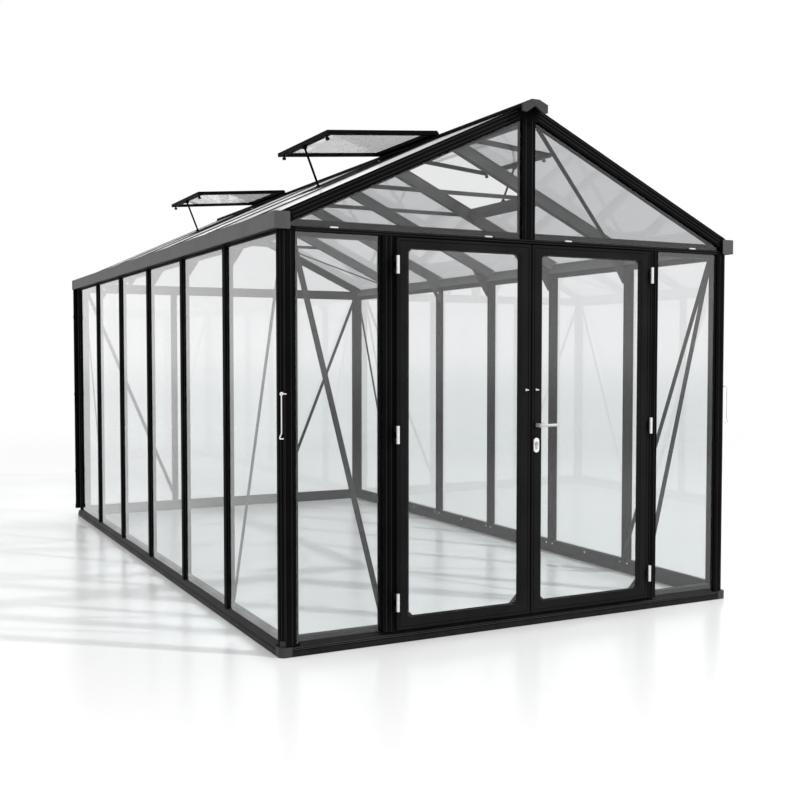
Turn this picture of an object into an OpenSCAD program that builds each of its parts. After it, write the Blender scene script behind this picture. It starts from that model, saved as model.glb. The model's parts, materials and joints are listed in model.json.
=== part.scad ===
// Glass greenhouse with a ridge roof, double doors and open roof vents.
// X runs across the gable, Y along the ridge with the doors at -Y, Z up from the ground.

/* [Plan] */
// Spacing of the glazing bars along the side walls
bay_pitch = 738; // [600:1:900]
// Number of bays along each side wall
bay_count = 6; // [5:1:9]
// Width over the outer faces of the side wall glass
glass_w = 2395; // [2200:1:2900]
// Distance of the back wall's bars from the middle
back_bar_x = 452; // [300:1:600]

/* [Heights] */
// Height of the gutter's upper edge
eave_h = 1834; // [1790:1:2250]
// Slope of the roof in degrees
roof_slope = 25; // [20:0.5:30]
// Height of the sill's inner upstand
sill_h = 78; // [70:1:110]
// Height of the threshold and of the sill's outer face
sill_step_h = 40; // [34:1:48]

/* [Glass] */
// Thickness of every pane
glass_t = 4; // [3:0.5:6]
// Play on each face of a pane in its groove
glass_play = 0.5; // [0.3:0.1:1]
// Depth that a pane reaches into its groove
glass_bite = 10; // [6:1:12]
// Play at the bottom of a groove
groove_end_play = 2; // [1:0.5:4]

/* [Bars] */
// Width of the glazing bars and rafters
bar_w = 40; // [36:1:56]
// Projection of the outer caps beyond the glass
cap_out = 11; // [9:1:18]
// Depth of the roof glass below the top of the rafter caps
roof_cap = 4; // [3:0.5:11]
// Depth of the bars behind the glass
bar_in = 28; // [22:1:40]
// Depth of the rafters under the roof glass
rafter_in = 55; // [42:1:70]
// Width of the gable's middle bar
gable_bar_w = 69; // [50:1:90]
// Width of the flat braces
brace_w = 25; // [16:1:32]
// Thickness of the flat braces, ties and gussets
plate_t = 4; // [3:0.5:6]
// Height of the collar ties
tie_z = 2098; // [2040:1:2200]

/* [Doors] */
// Clear width between the door posts
doorway_w = 1386; // [1100:1:1500]
// Width of each door post
door_post_w = 56; // [46:1:70]
// Thickness of the door leaves
leaf_t = 34; // [28:1:34]
// Face width of the leaves' stiles and rails
leaf_rail_w = 50; // [42:1:64]
// Width of the leaves' top rails
leaf_top_w = 44; // [38:1:64]
// Play between leaf and door post
leaf_side_gap = 6; // [5:0.5:10]
// Play between the two leaves
leaf_meet_gap = 8; // [7:0.5:12]
// Play between the leaf and what lies above and below it
leaf_end_gap = 7; // [6:0.5:12]
// Diameter of the hinge barrels
barrel_d = 14; // [10:1:18]
// Length of a hinge barrel
barrel_len = 77; // [60:1:100]
// Height of the lever above the ground
lever_z = 929; // [850:1:1100]
// Length of the lever grip
lever_len = 100; // [80:1:150]
// Height of the hold-back hooks' eyes
hook_z = 1091; // [1000:1:1250]
// Width of the downpipe heads
pipe_d = 42; // [36:1:60]
// Height of the downpipes' feet
pipe_foot = 56; // [30:1:200]
// Length of the hold-back hooks
hook_len = 178; // [140:1:210]

/* [Vents] */
// Length of a vent sash down the slope
vent_len = 622; // [480:1:700]
// Opening angle of the vents in degrees
vent_open = 20; // [12:1:35]
// Depth of the sash frame
sash_h = 20; // [16:1:30]

/* [Hidden] */

// Finishes
black = "#1b1c1e";
grey = "#58595b";
silver = "#c9cbcc";
clear = [0.86, 0.91, 0.92, 0.35];

// Glass planes: outer faces at x = +-gx and y = +-gy
gx = glass_w / 2;
gy = bay_pitch * bay_count / 2;
bar_lines = [for (k = [1 : bay_count - 1]) k * bay_pitch - gy];
slot_out = glass_play;
slot_in = -glass_t - glass_play;
groove = glass_bite + groove_end_play;
web_w = bar_w - 2 * groove;
inner_o = slot_in - bar_in;
end_inner_o = inner_o - 2;

// Sill profile
sill_out = 21.5;
sill_lip_h = 22;
sill_lip_step = 4;
sill_drip_h = sill_step_h + 16;
sill_seat_z = sill_drip_h - glass_bite;
threshold_h = sill_drip_h - 2;

// Corner posts, measured from the glass corner
post_front_w = 55;
post_flange_w = 70;
post_side_w = 36;
post_back_w = 40;
post_chamfer = 24;

// Eave and roof line: the top faces of the rafters' caps
gutter_out = 38.1;
gutter_wall = 3;
gutter_h = 71;
gutter_z = eave_h - gutter_h;
eave_beam_z = gutter_z - 28;
eave_beam_top = eave_h - 28;
gutter_inner_wall = 6;
roof_rise = 4;
slope_sin = sin(roof_slope);
slope_cos = cos(roof_slope);
slope_tan = tan(roof_slope);
ridge_z = eave_h + roof_rise + slope_tan * gx;
function roof_z(x) = ridge_z - slope_tan * abs(x);
// Distances under the roof line, square to the slope
roof_slot_top = -roof_cap + glass_play;
roof_glass_top = -roof_cap;
roof_glass_low = roof_glass_top - glass_t;
roof_slot_low = roof_glass_low - glass_play;
rafter_low = roof_slot_low - rafter_in;
rake_low_out = -55;
rake_low_in = -62;
gutter_inner_top = roof_z(gx + gutter_inner_wall) + (roof_glass_low - 0.5) / slope_cos;

// Front and back transom
strip_h = 20;
strip_z = gutter_z - 5;
transom_z = gutter_z - 25;
transom_h = 70;
tongue_h = 8;
tongue_z = strip_z + (strip_h - tongue_h) / 2;

// Ridge
ridge_beam_w = 50;
ridge_beam_h = 70;
ridge_beam_top = roof_z(ridge_beam_w / 2) + (roof_glass_low - 0.5) / slope_cos;
ridge_cap_half = 65;
ridge_cap_flat = 21;
ridge_cap_rise = 4;
ridge_cap_edge_h = 14;
ridge_cap_len = gy + 51;
ridge_end_t = 12;

// Doors
post_x = doorway_w / 2;
post_out_x = post_x + door_post_w;
door_post_out = 24;
leaf_front = 39;
leaf_back = leaf_front - leaf_t;
stop_lip = 15;
stop_o = leaf_back - 6;
leaf_x0 = leaf_meet_gap / 2;
leaf_x1 = post_x - leaf_side_gap;
leaf_z0 = threshold_h + leaf_end_gap;
leaf_z1 = strip_z - leaf_end_gap;
leaf_chamfer = 12;
leaf_glass_o = (leaf_front + leaf_back) / 2;
hinge_x = post_x - leaf_side_gap / 2;
hinge_o = leaf_front + barrel_d / 2 + 5;
hinge_zs = [leaf_z0 + 122, (leaf_z0 + leaf_z1) / 2 + 2, leaf_z1 - 116];
hinge_leaf_w = 14;
hinge_leaf_x = 2;
knuckle_gap = 0.6;
lever_x = leaf_x0 + 22;
grip_h = 20;
grip_t = 12;
spindle_r = 5;
spindle_play = 0.4;
rose_r = 14;
lever_out = 46;
lock_z = lever_z - 92;
lock_w = 28;
lock_h = 67;
lock_t = 7;
rose_t = lock_t;

// Hold-back hooks
wire_r = 2.2;
eye_ring_r = 10;
hook_loop_r = 5.6;
hook_stub = 10;
hook_bend_r = 6;
hook_tip = 9;
eye_shank = 12;
chamfer_mid_x = gx + cap_out - post_chamfer / 2;
chamfer_mid_y = gy + cap_out - post_chamfer / 2;
eye_x = chamfer_mid_x + 2;
eye_y = chamfer_mid_y + eye_shank + eye_ring_r;
hook_x = eye_x + eye_ring_r;
door_eye_out = 11;
door_eye_x = leaf_x0 + 24;

// Vents: side of the roof and bay, counted from the front
vents = [[-1, 2], [-1, bay_count - 1], [1, 2]];
vent_hinge_r = 7;
vent_hinge_x = 47;
vent_hinge_z = ridge_z + 0.8;
sash_drop = 6;
sash_rail = 35;
sash_w = bay_pitch - bar_w - 8;
vent_sill_w = 50;
vent_sill_s = (vent_hinge_x + vent_len * slope_cos) / slope_cos - vent_sill_w;
vent_sill_lip = 12;
stay_r = 6;
stay_block = 22;
function bay_mid(k) = (k - 0.5) * bay_pitch - gy;
function has_vent(side, k) = len([for (v = vents) if (v[0] == side && v[1] == k) 1]) > 0;

$fn = 48;

// Helpers: outlines drawn in x-z or y-z and carried along the other axis
module along_y(y0, y1) { translate([0, y1, 0]) rotate([90, 0, 0]) linear_extrude(y1 - y0) children(); }
module along_x(x0, x1) { translate([x0, 0, 0]) rotate([90, 0, 90]) linear_extrude(x1 - x0) children(); }
module upright(z0, z1) { translate([0, 0, z0]) linear_extrude(z1 - z0) children(); }
module left_right() { children(); mirror([1, 0, 0]) children(); }
module to_side(side) { if (side < 0) mirror([1, 0, 0]) children(); else children(); }
module to_end(end) { if (end < 0) mirror([0, 1, 0]) children(); else children(); }
// Roof frame: x runs down the slope from the ridge, z stands square to it
module on_slope(side) { to_side(side) translate([0, 0, ridge_z]) rotate([0, roof_slope, 0]) children(); }
module rod(p, q, r) {
  d = q - p;
  translate(p) rotate([0, acos(d.z / norm(d)), atan2(d.y, d.x)]) cylinder(h = norm(d), r = r);
}
// Flat bar in the plane of a wall: u and v are in-plane, thickness goes outwards
module flat_bar(p, q, w, t) {
  d = q - p;
  translate([p.x, p.y]) rotate(atan2(d.y, d.x)) translate([0, -w / 2]) square([norm(d), w]);
}

// Sill outlines, o measured outwards from the glass
module sill_low_outline() {
  polygon([[sill_out, 0], [sill_out, sill_lip_h], [sill_out - sill_lip_step, sill_lip_h + 2],
    [sill_out - sill_lip_step, sill_step_h], [inner_o, sill_step_h], [inner_o, 0]]);
}
module sill_outline() {
  polygon([[sill_out, 0], [sill_out, sill_lip_h], [sill_out - sill_lip_step, sill_lip_h + 2],
    [sill_out - sill_lip_step, sill_step_h], [slot_out, sill_drip_h], [slot_out, sill_seat_z],
    [slot_in, sill_seat_z], [slot_in, sill_h], [inner_o, sill_h], [inner_o, 0]]);
}
module threshold_outline() {
  polygon([[sill_out, 0], [sill_out, sill_lip_h], [sill_out - sill_lip_step, sill_lip_h + 2],
    [sill_out - sill_lip_step, sill_step_h], [slot_out, threshold_h], [inner_o, threshold_h], [inner_o, 0]]);
}
module side_sill(side) {
  color(black) to_side(side) {
    translate([gx, 0, 0]) along_y(-(gy - post_back_w), gy - post_back_w) sill_outline();
    translate([gx, 0, 0]) along_y(-(gy + inner_o), gy + sill_out) sill_low_outline();
  }
}
module end_sill_part(x0, x1) { translate([0, gy, 0]) along_x(x0, x1) children(); }
module front_sill() {
  color(black) to_end(-1) {
    end_sill_part(-(gx + inner_o), gx + inner_o) sill_low_outline();
    difference() {
      end_sill_part(-post_out_x, post_out_x) threshold_outline();
      left_right() translate([post_out_x - groove, gy + slot_in, sill_seat_z])
        cube([groove + 1, slot_out - slot_in, sill_h]);
    }
    left_right() end_sill_part(post_out_x, gx - post_flange_w) sill_outline();
  }
}
module back_sill() {
  color(black) {
    end_sill_part(-(gx + inner_o), gx + inner_o) sill_low_outline();
    end_sill_part(-(gx - post_flange_w), gx - post_flange_w) sill_outline();
  }
}
module left_sill() { side_sill(-1); }
module right_sill() { side_sill(1); }
module sill_corner_caps() {
  round_r = 26;
  far = [gx + sill_out, gy + sill_out];
  near = [gx + inner_o, gy + inner_o];
  color(grey) to_end(-1) left_right() upright(0, sill_step_h) {
    translate(far - [round_r, round_r]) circle(round_r);
    translate(near) square([far.x - near.x - round_r, far.y - near.y]);
    translate(near) square([far.x - near.x, far.y - near.y - round_r]);
  }
}

// Corner post with a groove for each wall's glass
module corner_post() {
  left_right() upright(sill_step_h, gutter_z) translate([gx, gy]) polygon([
    [-post_front_w, cap_out], [cap_out - post_chamfer, cap_out], [cap_out, cap_out - post_chamfer],
    [cap_out, -post_side_w], [slot_out, -post_side_w], [slot_out, -post_side_w + groove],
    [slot_in, -post_side_w + groove], [slot_in, -post_back_w], [inner_o - 2, -post_back_w],
    [inner_o - 2, end_inner_o], [-post_flange_w, end_inner_o], [-post_flange_w, slot_in],
    [-post_front_w + groove, slot_in], [-post_front_w + groove, slot_out], [-post_front_w, slot_out]]);
}
module front_corner_posts() { color(black) to_end(-1) corner_post(); }
module back_corner_posts() { color(black) corner_post(); }

// Glazing bar of a wall, standing on the sill; drawn at x = 0 with the glass face at y = 0
module wall_bar(top_out, top_in) {
  along_x(-bar_w / 2, bar_w / 2)
    polygon([[slot_out, sill_drip_h], [cap_out, sill_drip_h - (cap_out - slot_out) * 0.9],
      [cap_out, top_out], [slot_out, top_out]]);
  upright(sill_h, top_in) translate([-web_w / 2, slot_in - 1]) square([web_w, slot_out - slot_in + 2]);
  upright(sill_h, top_in) translate([-bar_w / 2, inner_o]) square([bar_w, bar_in]);
}
module side_wall_bars(side) {
  color(black) to_side(side) for (y = bar_lines)
    translate([gx, y, 0]) rotate(-90) wall_bar(gutter_z, eave_beam_z);
}
module left_wall_bars() { side_wall_bars(-1); }
module right_wall_bars() { side_wall_bars(1); }
module back_wall_bars() {
  color(black) left_right() translate([back_bar_x, gy, 0]) wall_bar(strip_z, transom_z);
}
module door_posts() {
  color(black) to_end(-1) left_right() {
    upright(threshold_h, transom_z) translate([post_x, gy]) polygon([
      [0, door_post_out], [door_post_w, door_post_out], [door_post_w, slot_out], [door_post_w - groove, slot_out],
      [door_post_w - groove, slot_in], [door_post_w, slot_in], [door_post_w, end_inner_o],
      [-stop_lip, end_inner_o], [-stop_lip, stop_o], [0, stop_o]]);
    upright(transom_z - 1, strip_z) translate([post_x, gy + slot_out])
      square([door_post_w, door_post_out - slot_out]);
  }
}

// Everything above the undersides of the rake bars, drawn in x-z
module above_rakes(low) {
  far = gx + 200;
  drop = (low - 0.2) / slope_cos;
  polygon([[-far, roof_z(far) + drop], [0, ridge_z + drop], [far, roof_z(far) + drop],
    [far, ridge_z + 200], [-far, ridge_z + 200]]);
}
end_x = gx + slot_in - 0.5;
module transom() {
  color(black) difference() {
    translate([0, gy, 0]) {
      along_x(-(gx - post_flange_w), gx - post_flange_w)
        translate([end_inner_o, transom_z]) square([slot_in - end_inner_o, transom_h]);
      along_x(-end_x, end_x) translate([end_inner_o, gutter_z])
        square([slot_in - end_inner_o, transom_z + transom_h - gutter_z]);
      along_x(-(gx - post_flange_w), gx - post_flange_w)
        translate([slot_in - 1, tongue_z]) square([slot_out - slot_in + 2, tongue_h]);
      along_x(-(gx - post_front_w), gx - post_front_w)
        translate([slot_out, strip_z]) square([cap_out - slot_out, strip_h]);
      along_x(-end_x, end_x) translate([slot_out, gutter_z])
        square([cap_out - slot_out, strip_z + strip_h - gutter_z]);
    }
    along_y(gy + end_inner_o - 1, gy + slot_in) above_rakes(rake_low_in);
    along_y(gy + slot_in, gy + cap_out + 1) above_rakes(rake_low_out);
  }
}
module front_transom() { to_end(-1) transom(); }
module back_transom() { transom(); }

// Gutter and eave beam in one profile
module gutter(side) {
  far = gy + cap_out + 10;
  color(grey) to_side(side) translate([gx, 0, 0]) {
    along_y(-far, far) polygon([[gutter_out, gutter_z], [gutter_out, eave_h], [gutter_out - gutter_wall, eave_h],
      [gutter_out - gutter_wall, gutter_z + gutter_wall], [gutter_inner_wall, gutter_z + gutter_wall],
      [gutter_inner_wall, gutter_inner_top], [slot_out, gutter_inner_top], [slot_out, gutter_z]]);
    along_y(-(gy - post_back_w), gy - post_back_w) polygon([[inner_o, eave_beam_z], [slot_in, eave_beam_z],
      [slot_in, gutter_z + groove + 5], [slot_out + 2, gutter_z + groove + 5],
      [slot_out + 2, eave_beam_top], [inner_o, eave_beam_top]]);
  }
}
module left_gutter() { gutter(-1); }
module right_gutter() { gutter(1); }
module gutter_end_caps() {
  cap_t = 3;
  far = gy + cap_out + 10;
  color(grey) left_right() for (end = [-1, 1]) to_end(end)
    along_y(far, far + cap_t) translate([gx, 0]) polygon([[slot_out, gutter_z], [gutter_out, gutter_z],
      [gutter_out, eave_h], [slot_out - 30, eave_h], [slot_out - 30, gutter_z]]);
}

// Rake bar along a gable's slope, with grooves for the roof glass and the gable glass
// Downpipes behind the back gutter ends: an open head, a pipe and a collar at its foot
pipe_y = gy + cap_out + 13 + 0.3 + pipe_d / 2;
pipe_x = gx + gutter_out - pipe_d / 2;
module downpipes() {
  wall = 2;
  collar = 3;
  color(black) left_right() translate([pipe_x, pipe_y, 0]) {
    difference() {
      union() {
        translate([0, 0, pipe_foot]) cylinder(h = gutter_z - pipe_foot + 1, d = pipe_d - 2 * collar);
        translate([0, 0, pipe_foot]) cylinder(h = 30, d = pipe_d);
        translate([-pipe_d / 2, -pipe_d / 2, gutter_z]) cube([pipe_d, pipe_d, eave_h - gutter_z]);
      }
      translate([0, 0, pipe_foot - 1]) cylinder(h = gutter_z, d = pipe_d - 2 * collar - 2 * wall);
      translate([wall - pipe_d / 2, wall - pipe_d / 2, gutter_z + wall])
        cube([pipe_d - 2 * wall, pipe_d - 2 * wall, eave_h - gutter_z]);
    }
  }
}
module rake_bar_outline() {
  cover = 22;
  seat_o = 10;
  polygon([[cap_out, 0], [cap_out, rake_low_out], [slot_out, rake_low_out],
    [slot_out, rake_low_out + groove], [slot_in, rake_low_out + groove],
    [slot_in, rake_low_in], [end_inner_o, rake_low_in], [end_inner_o, roof_slot_low], [-seat_o, roof_slot_low],
    [-seat_o, roof_slot_top], [-cover, roof_slot_top], [-cover, 0]]);
}
module rake_bars(end) {
  color(black) for (side = [-1, 1]) to_end(end) intersection() {
    on_slope(side) translate([0, gy, 0]) along_x(-100, (gx + 100) / slope_cos) rake_bar_outline();
    to_side(side) translate([0.3, gy - 200, 0]) cube([end_x - 0.3, 400, ridge_z + 100]);
  }
}
module front_rake_bars() { rake_bars(-1); }
module back_rake_bars() { rake_bars(1); }
module gable_bar() {
  half = gable_bar_w / 2;
  core = half - groove;
  difference() {
    translate([0, gy, 0]) {
      upright(transom_z + transom_h, ridge_z) translate([-half, end_inner_o])
        square([gable_bar_w, slot_in - end_inner_o]);
      upright(transom_z + transom_h, ridge_z) translate([-core, slot_in - 1])
        square([2 * core, slot_out - slot_in + 2]);
      upright(strip_z + strip_h, ridge_z) translate([-half, slot_out]) square([gable_bar_w, cap_out - slot_out]);
    }
    along_y(gy + end_inner_o - 1, gy + slot_in) above_rakes(rake_low_in);
    along_y(gy + slot_in, gy + cap_out + 1) above_rakes(rake_low_out);
  }
}
module gable_bars() { color(black) for (end = [-1, 1]) to_end(end) gable_bar(); }

// Rafters: cap over the glass, web between the panes, deep bar under it
rafter_top_s = (ridge_beam_w / 2 - rafter_low * slope_sin) / slope_cos + 0.3;
rafter_end_s = (gx + inner_o) * slope_cos + (ridge_z - eave_beam_top) * slope_sin - 0.3;
cap_end_s = (gx + gutter_inner_wall) / slope_cos;
module rafter() {
  along_x(rafter_top_s, cap_end_s) translate([-bar_w / 2, roof_slot_top]) square([bar_w, -roof_slot_top]);
  along_x(rafter_top_s, rafter_end_s)
    translate([-web_w / 2, roof_slot_low - 1]) square([web_w, roof_slot_top - roof_slot_low + 2]);
  along_x(rafter_top_s, rafter_end_s) translate([-bar_w / 2, rafter_low]) square([bar_w, rafter_in]);
}
module rafters(side) { color(black) on_slope(side) for (y = bar_lines) translate([0, y, 0]) rafter(); }
module left_rafters() { rafters(-1); }
module right_rafters() { rafters(1); }

module ridge_beam() {
  far = gy + end_inner_o;
  color(black) along_y(-far, far) translate([-ridge_beam_w / 2, ridge_beam_top - ridge_beam_h])
    square([ridge_beam_w, ridge_beam_h]);
}
module ridge_cap() {
  foot = 0.5;
  top = ridge_z + ridge_cap_rise;
  edge_z = roof_z(ridge_cap_half) + foot;
  color(black) along_y(-ridge_cap_len, ridge_cap_len) polygon([[0, ridge_z + foot], [ridge_cap_half, edge_z],
    [ridge_cap_half, edge_z + ridge_cap_edge_h], [ridge_cap_flat, top], [-ridge_cap_flat, top],
    [-ridge_cap_half, edge_z + ridge_cap_edge_h], [-ridge_cap_half, edge_z]]);
}
module ridge_end_caps() {
  proud = 2;
  half = ridge_cap_half + proud;
  shoulder = roof_z(ridge_cap_half) + ridge_cap_edge_h + proud;
  foot = shoulder - 36;
  top = ridge_z + ridge_cap_rise + proud;
  color(grey) for (end = [-1, 1]) to_end(end) along_y(ridge_cap_len, ridge_cap_len + ridge_end_t)
    polygon([[0, foot + 28], [half - 20, foot - 4], [half, foot], [half, shoulder], [ridge_cap_flat, top],
      [-ridge_cap_flat, top], [-half, shoulder], [-half, foot], [20 - half, foot - 4]]);
}

// Ties, gussets and braces
module collar_ties() {
  tie_h = 22;
  reach = (ridge_z - tie_z + rafter_low * 0.7 / slope_cos) / slope_tan;
  color(black) for (y = bar_lines) translate([-reach, y + bar_w / 2, tie_z - tie_h / 2])
    cube([2 * reach, plate_t, tie_h]);
}
module knee_gussets() {
  under = (roof_glass_low - 2) / slope_cos;
  face_x = gx + inner_o;
  leg = 136;
  foot_z = eave_beam_z - 75;
  color(black) left_right() for (y = bar_lines) translate([0, y, 0]) to_end(y > 1 ? -1 : 1)
    along_y(bar_w / 2 + 0.2, bar_w / 2 + 0.2 + plate_t) polygon([[face_x - leg, roof_z(face_x - leg) + under], [face_x - leg, roof_z(face_x - leg) + under - 40],
      [face_x - 6, foot_z], [face_x + 20, foot_z], [face_x + 20, eave_beam_z], [face_x, eave_beam_z],
      [face_x, roof_z(face_x) + under]]);
}
brace_top = transom_z + 12;
brace_foot = sill_h + 12;
module wall_braces() {
  seat = 0.3;
  side_o = gx + inner_o - seat - plate_t;
  end_o = gy + end_inner_o - seat - plate_t;
  top_y = gy - post_back_w - brace_w;
  top_x = gx - post_flange_w + brace_w / 2;
  color(black) for (end = [-1, 1]) to_end(end) left_right() {
    translate([side_o, 0, 0]) along_x(0, plate_t)
      flat_bar([top_y, brace_top], [bar_lines[bay_count - 2], brace_foot], brace_w);
    along_y(end_o, end_o + plate_t)
      flat_bar([top_x, brace_top], [end < 0 ? post_x + door_post_w / 2 : back_bar_x, brace_foot], brace_w);
  }
}
module roof_braces() {
  seat = 0.5;
  color(black) for (end = [-1, 1]) for (side = [-1, 1]) to_end(end)
    on_slope(side) translate([0, 0, rafter_low - seat - plate_t]) linear_extrude(plate_t)
      flat_bar([110, gy + end_inner_o + 10], [rafter_end_s - 60, bar_lines[bay_count - 2] - 6], brace_w);
}

// Glass: panes reach into the grooves on every side
pane_half = bay_pitch / 2 - web_w / 2 - groove_end_play;
module side_wall_glass(side) {
  z0 = sill_seat_z + glass_play;
  z1 = gutter_z + glass_bite + 5;
  end_y = gy - post_side_w + glass_bite;
  color(clear) to_side(side) for (k = [1 : bay_count]) {
    y0 = max(bay_mid(k) - pane_half, -end_y);
    y1 = min(bay_mid(k) + pane_half, end_y);
    translate([gx - glass_t, y0, z0]) cube([glass_t, y1 - y0, z1 - z0]);
  }
}
module left_wall_glass() { side_wall_glass(-1); }
module right_wall_glass() { side_wall_glass(1); }
end_pane_z0 = sill_seat_z + glass_play;
end_pane_z1 = tongue_z - glass_play;
module end_pane(x0, x1) {
  translate([x0, gy - glass_t, end_pane_z0]) cube([x1 - x0, glass_t, end_pane_z1 - end_pane_z0]);
}
module front_side_glass() {
  color(clear) to_end(-1) left_right()
    end_pane(post_out_x - glass_bite, gx - post_front_w + glass_bite);
}
module back_wall_glass() {
  edge = web_w / 2 + groove_end_play;
  color(clear) {
    end_pane(-back_bar_x + edge, back_bar_x - edge);
    left_right() end_pane(back_bar_x + edge, gx - post_front_w + glass_bite);
  }
}
module gable_glass() {
  x0 = gable_bar_w / 2 - glass_bite;
  z0 = tongue_z + tongue_h + glass_play;
  lift = (rake_low_out + glass_bite) / slope_cos;
  x1 = end_x - 2;
  color(clear) for (end = [-1, 1]) to_end(end) left_right() along_y(gy - glass_t, gy)
    polygon([[x0, z0], [x1, z0], [x1, max(z0 + 1, roof_z(x1) + lift)], [x0, roof_z(x0) + lift]]);
}
module roof_glass(side) {
  top_s = (ridge_beam_w / 2 + 6) / slope_cos;
  low_s = (gx + 18) / slope_cos;
  vent_s = vent_sill_s + vent_sill_lip + 1;
  end_y = gy - 12;
  color(clear) on_slope(side) for (k = [1 : bay_count]) {
    y0 = max(bay_mid(k) - pane_half, -end_y);
    y1 = min(bay_mid(k) + pane_half, end_y);
    s0 = has_vent(side, k) ? vent_s : top_s;
    translate([s0, y0, roof_glass_low]) cube([low_s - s0, y1 - y0, glass_t]);
  }
}
module left_roof_glass() { roof_glass(-1); }
module right_roof_glass() { roof_glass(1); }

// Vent sash, drawn from its hinge line
module at_vent(v) {
  to_side(v[0]) translate([vent_hinge_x, bay_mid(v[1]), vent_hinge_z])
    rotate([0, roof_slope - vent_open, 0]) children();
}
sash_bite = 8;
module sash_frame() {
  half = sash_w / 2;
  slot = glass_t + 2 * glass_play;
  difference() {
    union() {
      translate([0, -half, -sash_drop]) cube([vent_len, sash_w, sash_h]);
      translate([0, half, 0]) rotate([90, 0, 0]) cylinder(h = sash_w, r = vent_hinge_r);
    }
    translate([sash_rail, sash_rail - half, -sash_drop - 1])
      cube([vent_len - 2 * sash_rail, sash_w - 2 * sash_rail, sash_h + 2]);
    translate([sash_rail - sash_bite - 1, sash_rail - sash_bite - 1 - half, sash_h / 2 - sash_drop - slot / 2])
      cube([vent_len - 2 * (sash_rail - sash_bite - 1), sash_w - 2 * (sash_rail - sash_bite - 1), slot]);
  }
}
module vent_frames() { color(black) for (v = vents) at_vent(v) sash_frame(); }
module vent_glass() {
  inset = sash_rail - sash_bite;
  color(clear) for (v = vents) at_vent(v)
    translate([inset, inset - sash_w / 2, sash_h / 2 - sash_drop - glass_t / 2])
      cube([vent_len - 2 * inset, sash_w - 2 * inset, glass_t]);
}
module vent_sills() {
  half = bay_pitch / 2 - bar_w / 2 - 0.3;
  depth = 42;
  color(black) for (v = vents) on_slope(v[0]) translate([vent_sill_s, bay_mid(v[1]) - half, 0]) {
    translate([0, 0, roof_slot_low - depth]) cube([vent_sill_w, 2 * half, depth]);
    translate([0, 0, roof_slot_low - 1]) cube([vent_sill_lip, 2 * half, -roof_slot_low - 1]);
  }
}
// Stay between the sill's lip and the sash, with a block at each end
module vent_stays() {
  reach = vent_len - sash_rail / 2;
  tilt = roof_slope - vent_open;
  foot_s = vent_sill_s + vent_sill_lip / 2;
  foot_h = -2;
  foot = [foot_s * slope_cos + foot_h * slope_sin, 0, ridge_z - foot_s * slope_sin + foot_h * slope_cos];
  head = [vent_hinge_x + reach * cos(tilt) - sash_drop * sin(tilt), 0,
    vent_hinge_z - reach * sin(tilt) - sash_drop * cos(tilt) - 0.1];
  color(black) for (v = vents) to_side(v[0]) translate([0, bay_mid(v[1]), 0]) {
    rod(foot + [0, 0, 6], head - [0, 0, 6], stay_r);
    translate(foot) rotate([0, roof_slope, 0]) translate([-vent_sill_lip / 2, -stay_block / 2, 0])
      cube([vent_sill_lip, stay_block, 14]);
    translate(head) rotate([0, tilt, 0]) translate([-stay_block / 2, -stay_block / 2, -14])
      cube([stay_block, stay_block, 14]);
  }
}

// Door leaves: a frame with one pane in a groove
top_less = leaf_rail_w - leaf_top_w;
module leaf_outline(edge) {
  top = leaf_z1 - edge + top_less;
  polygon([[leaf_x0 + edge + leaf_chamfer, leaf_z0 + edge], [leaf_x1 - edge - leaf_chamfer, leaf_z0 + edge],
    [leaf_x1 - edge, leaf_z0 + edge + leaf_chamfer], [leaf_x1 - edge, top - leaf_chamfer],
    [leaf_x1 - edge - leaf_chamfer, top], [leaf_x0 + edge + leaf_chamfer, top],
    [leaf_x0 + edge, top - leaf_chamfer], [leaf_x0 + edge, leaf_z0 + edge + leaf_chamfer]]);
}
module leaf_frame() {
  pocket = leaf_rail_w - glass_bite - groove_end_play;
  slot = glass_t + 2 * glass_play;
  difference() {
    translate([leaf_x0, gy + leaf_back, leaf_z0]) cube([leaf_x1 - leaf_x0, leaf_t, leaf_z1 - leaf_z0]);
    along_y(gy + leaf_back - 1, gy + leaf_front + 1) leaf_outline(leaf_rail_w);
    translate([leaf_x0 + pocket, gy + leaf_glass_o - slot / 2, leaf_z0 + pocket])
      cube([leaf_x1 - leaf_x0 - 2 * pocket, slot, leaf_z1 - leaf_z0 - 2 * pocket + top_less]);
  }
}
module leaf_glass() {
  inset = leaf_rail_w - glass_bite;
  color(clear) translate([leaf_x0 + inset, gy + leaf_glass_o - glass_t / 2, leaf_z0 + inset])
    cube([leaf_x1 - leaf_x0 - 2 * inset, glass_t, leaf_z1 - leaf_z0 - 2 * inset + top_less]);
}
// Hinge: three knuckles on one barrel, the outer two on the frame
knuckle = barrel_len / 3;
module frame_hinge(z) {
  translate([hinge_x, gy + hinge_o, z]) {
    for (k = [-1.5, 0.5]) translate([0, 0, k * knuckle]) cylinder(h = knuckle, d = barrel_d);
    translate([0, 0, -1.5 * knuckle]) cylinder(h = barrel_len, d = barrel_d / 2);
    for (k = [-1.5, 0.5]) translate([hinge_leaf_x, door_post_out - hinge_o, k * knuckle])
      cube([hinge_leaf_w, hinge_o - door_post_out, knuckle]);
  }
}
module leaf_hinge(z) {
  bore_play = 0.4;
  translate([hinge_x, gy + hinge_o, z - knuckle / 2 + knuckle_gap]) difference() {
    union() {
      cylinder(h = knuckle - 2 * knuckle_gap, d = barrel_d);
      translate([-hinge_leaf_x - hinge_leaf_w, leaf_front - hinge_o, 0])
        cube([hinge_leaf_w, hinge_o - leaf_front, knuckle - 2 * knuckle_gap]);
    }
    translate([0, 0, -1]) cylinder(h = knuckle, d = barrel_d / 2 + 2 * bore_play);
  }
}
module frame_hinge_leaves() {
  color(silver) to_end(-1) left_right() for (z = hinge_zs) frame_hinge(z);
}
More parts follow.
